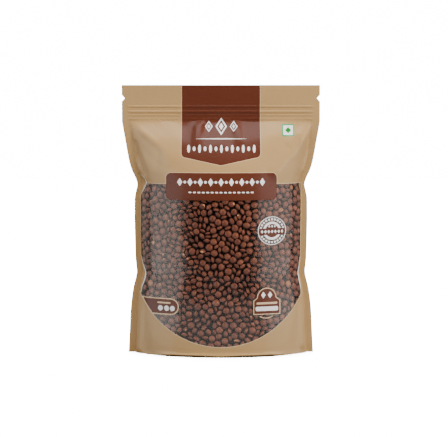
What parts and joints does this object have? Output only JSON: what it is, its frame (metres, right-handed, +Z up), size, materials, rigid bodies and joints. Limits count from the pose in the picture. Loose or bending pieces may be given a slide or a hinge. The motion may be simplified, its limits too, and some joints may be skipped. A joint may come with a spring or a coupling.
{
  "type": "stand-up pouch of dry lentils",
  "caption": "Sealed stand-up pouch with a zipper header and a clear front window that shows dry brown lentils.",
  "frame": {"origin": "centre of the base on the surface that the pouch stands on", "axes": "+Z up to the header, -Y out of the front with the window, +X to the right seal seen from the front"},
  "size_m": [0.1904, 0.0753, 0.2585],
  "materials": {
    "pouch_film": "satin",
    "lentils": "matte"
  },
  "bodies": {
    "root": {"pouch": "pouch_film", "lentils": "lentils"}
  },
  "joints": []
}
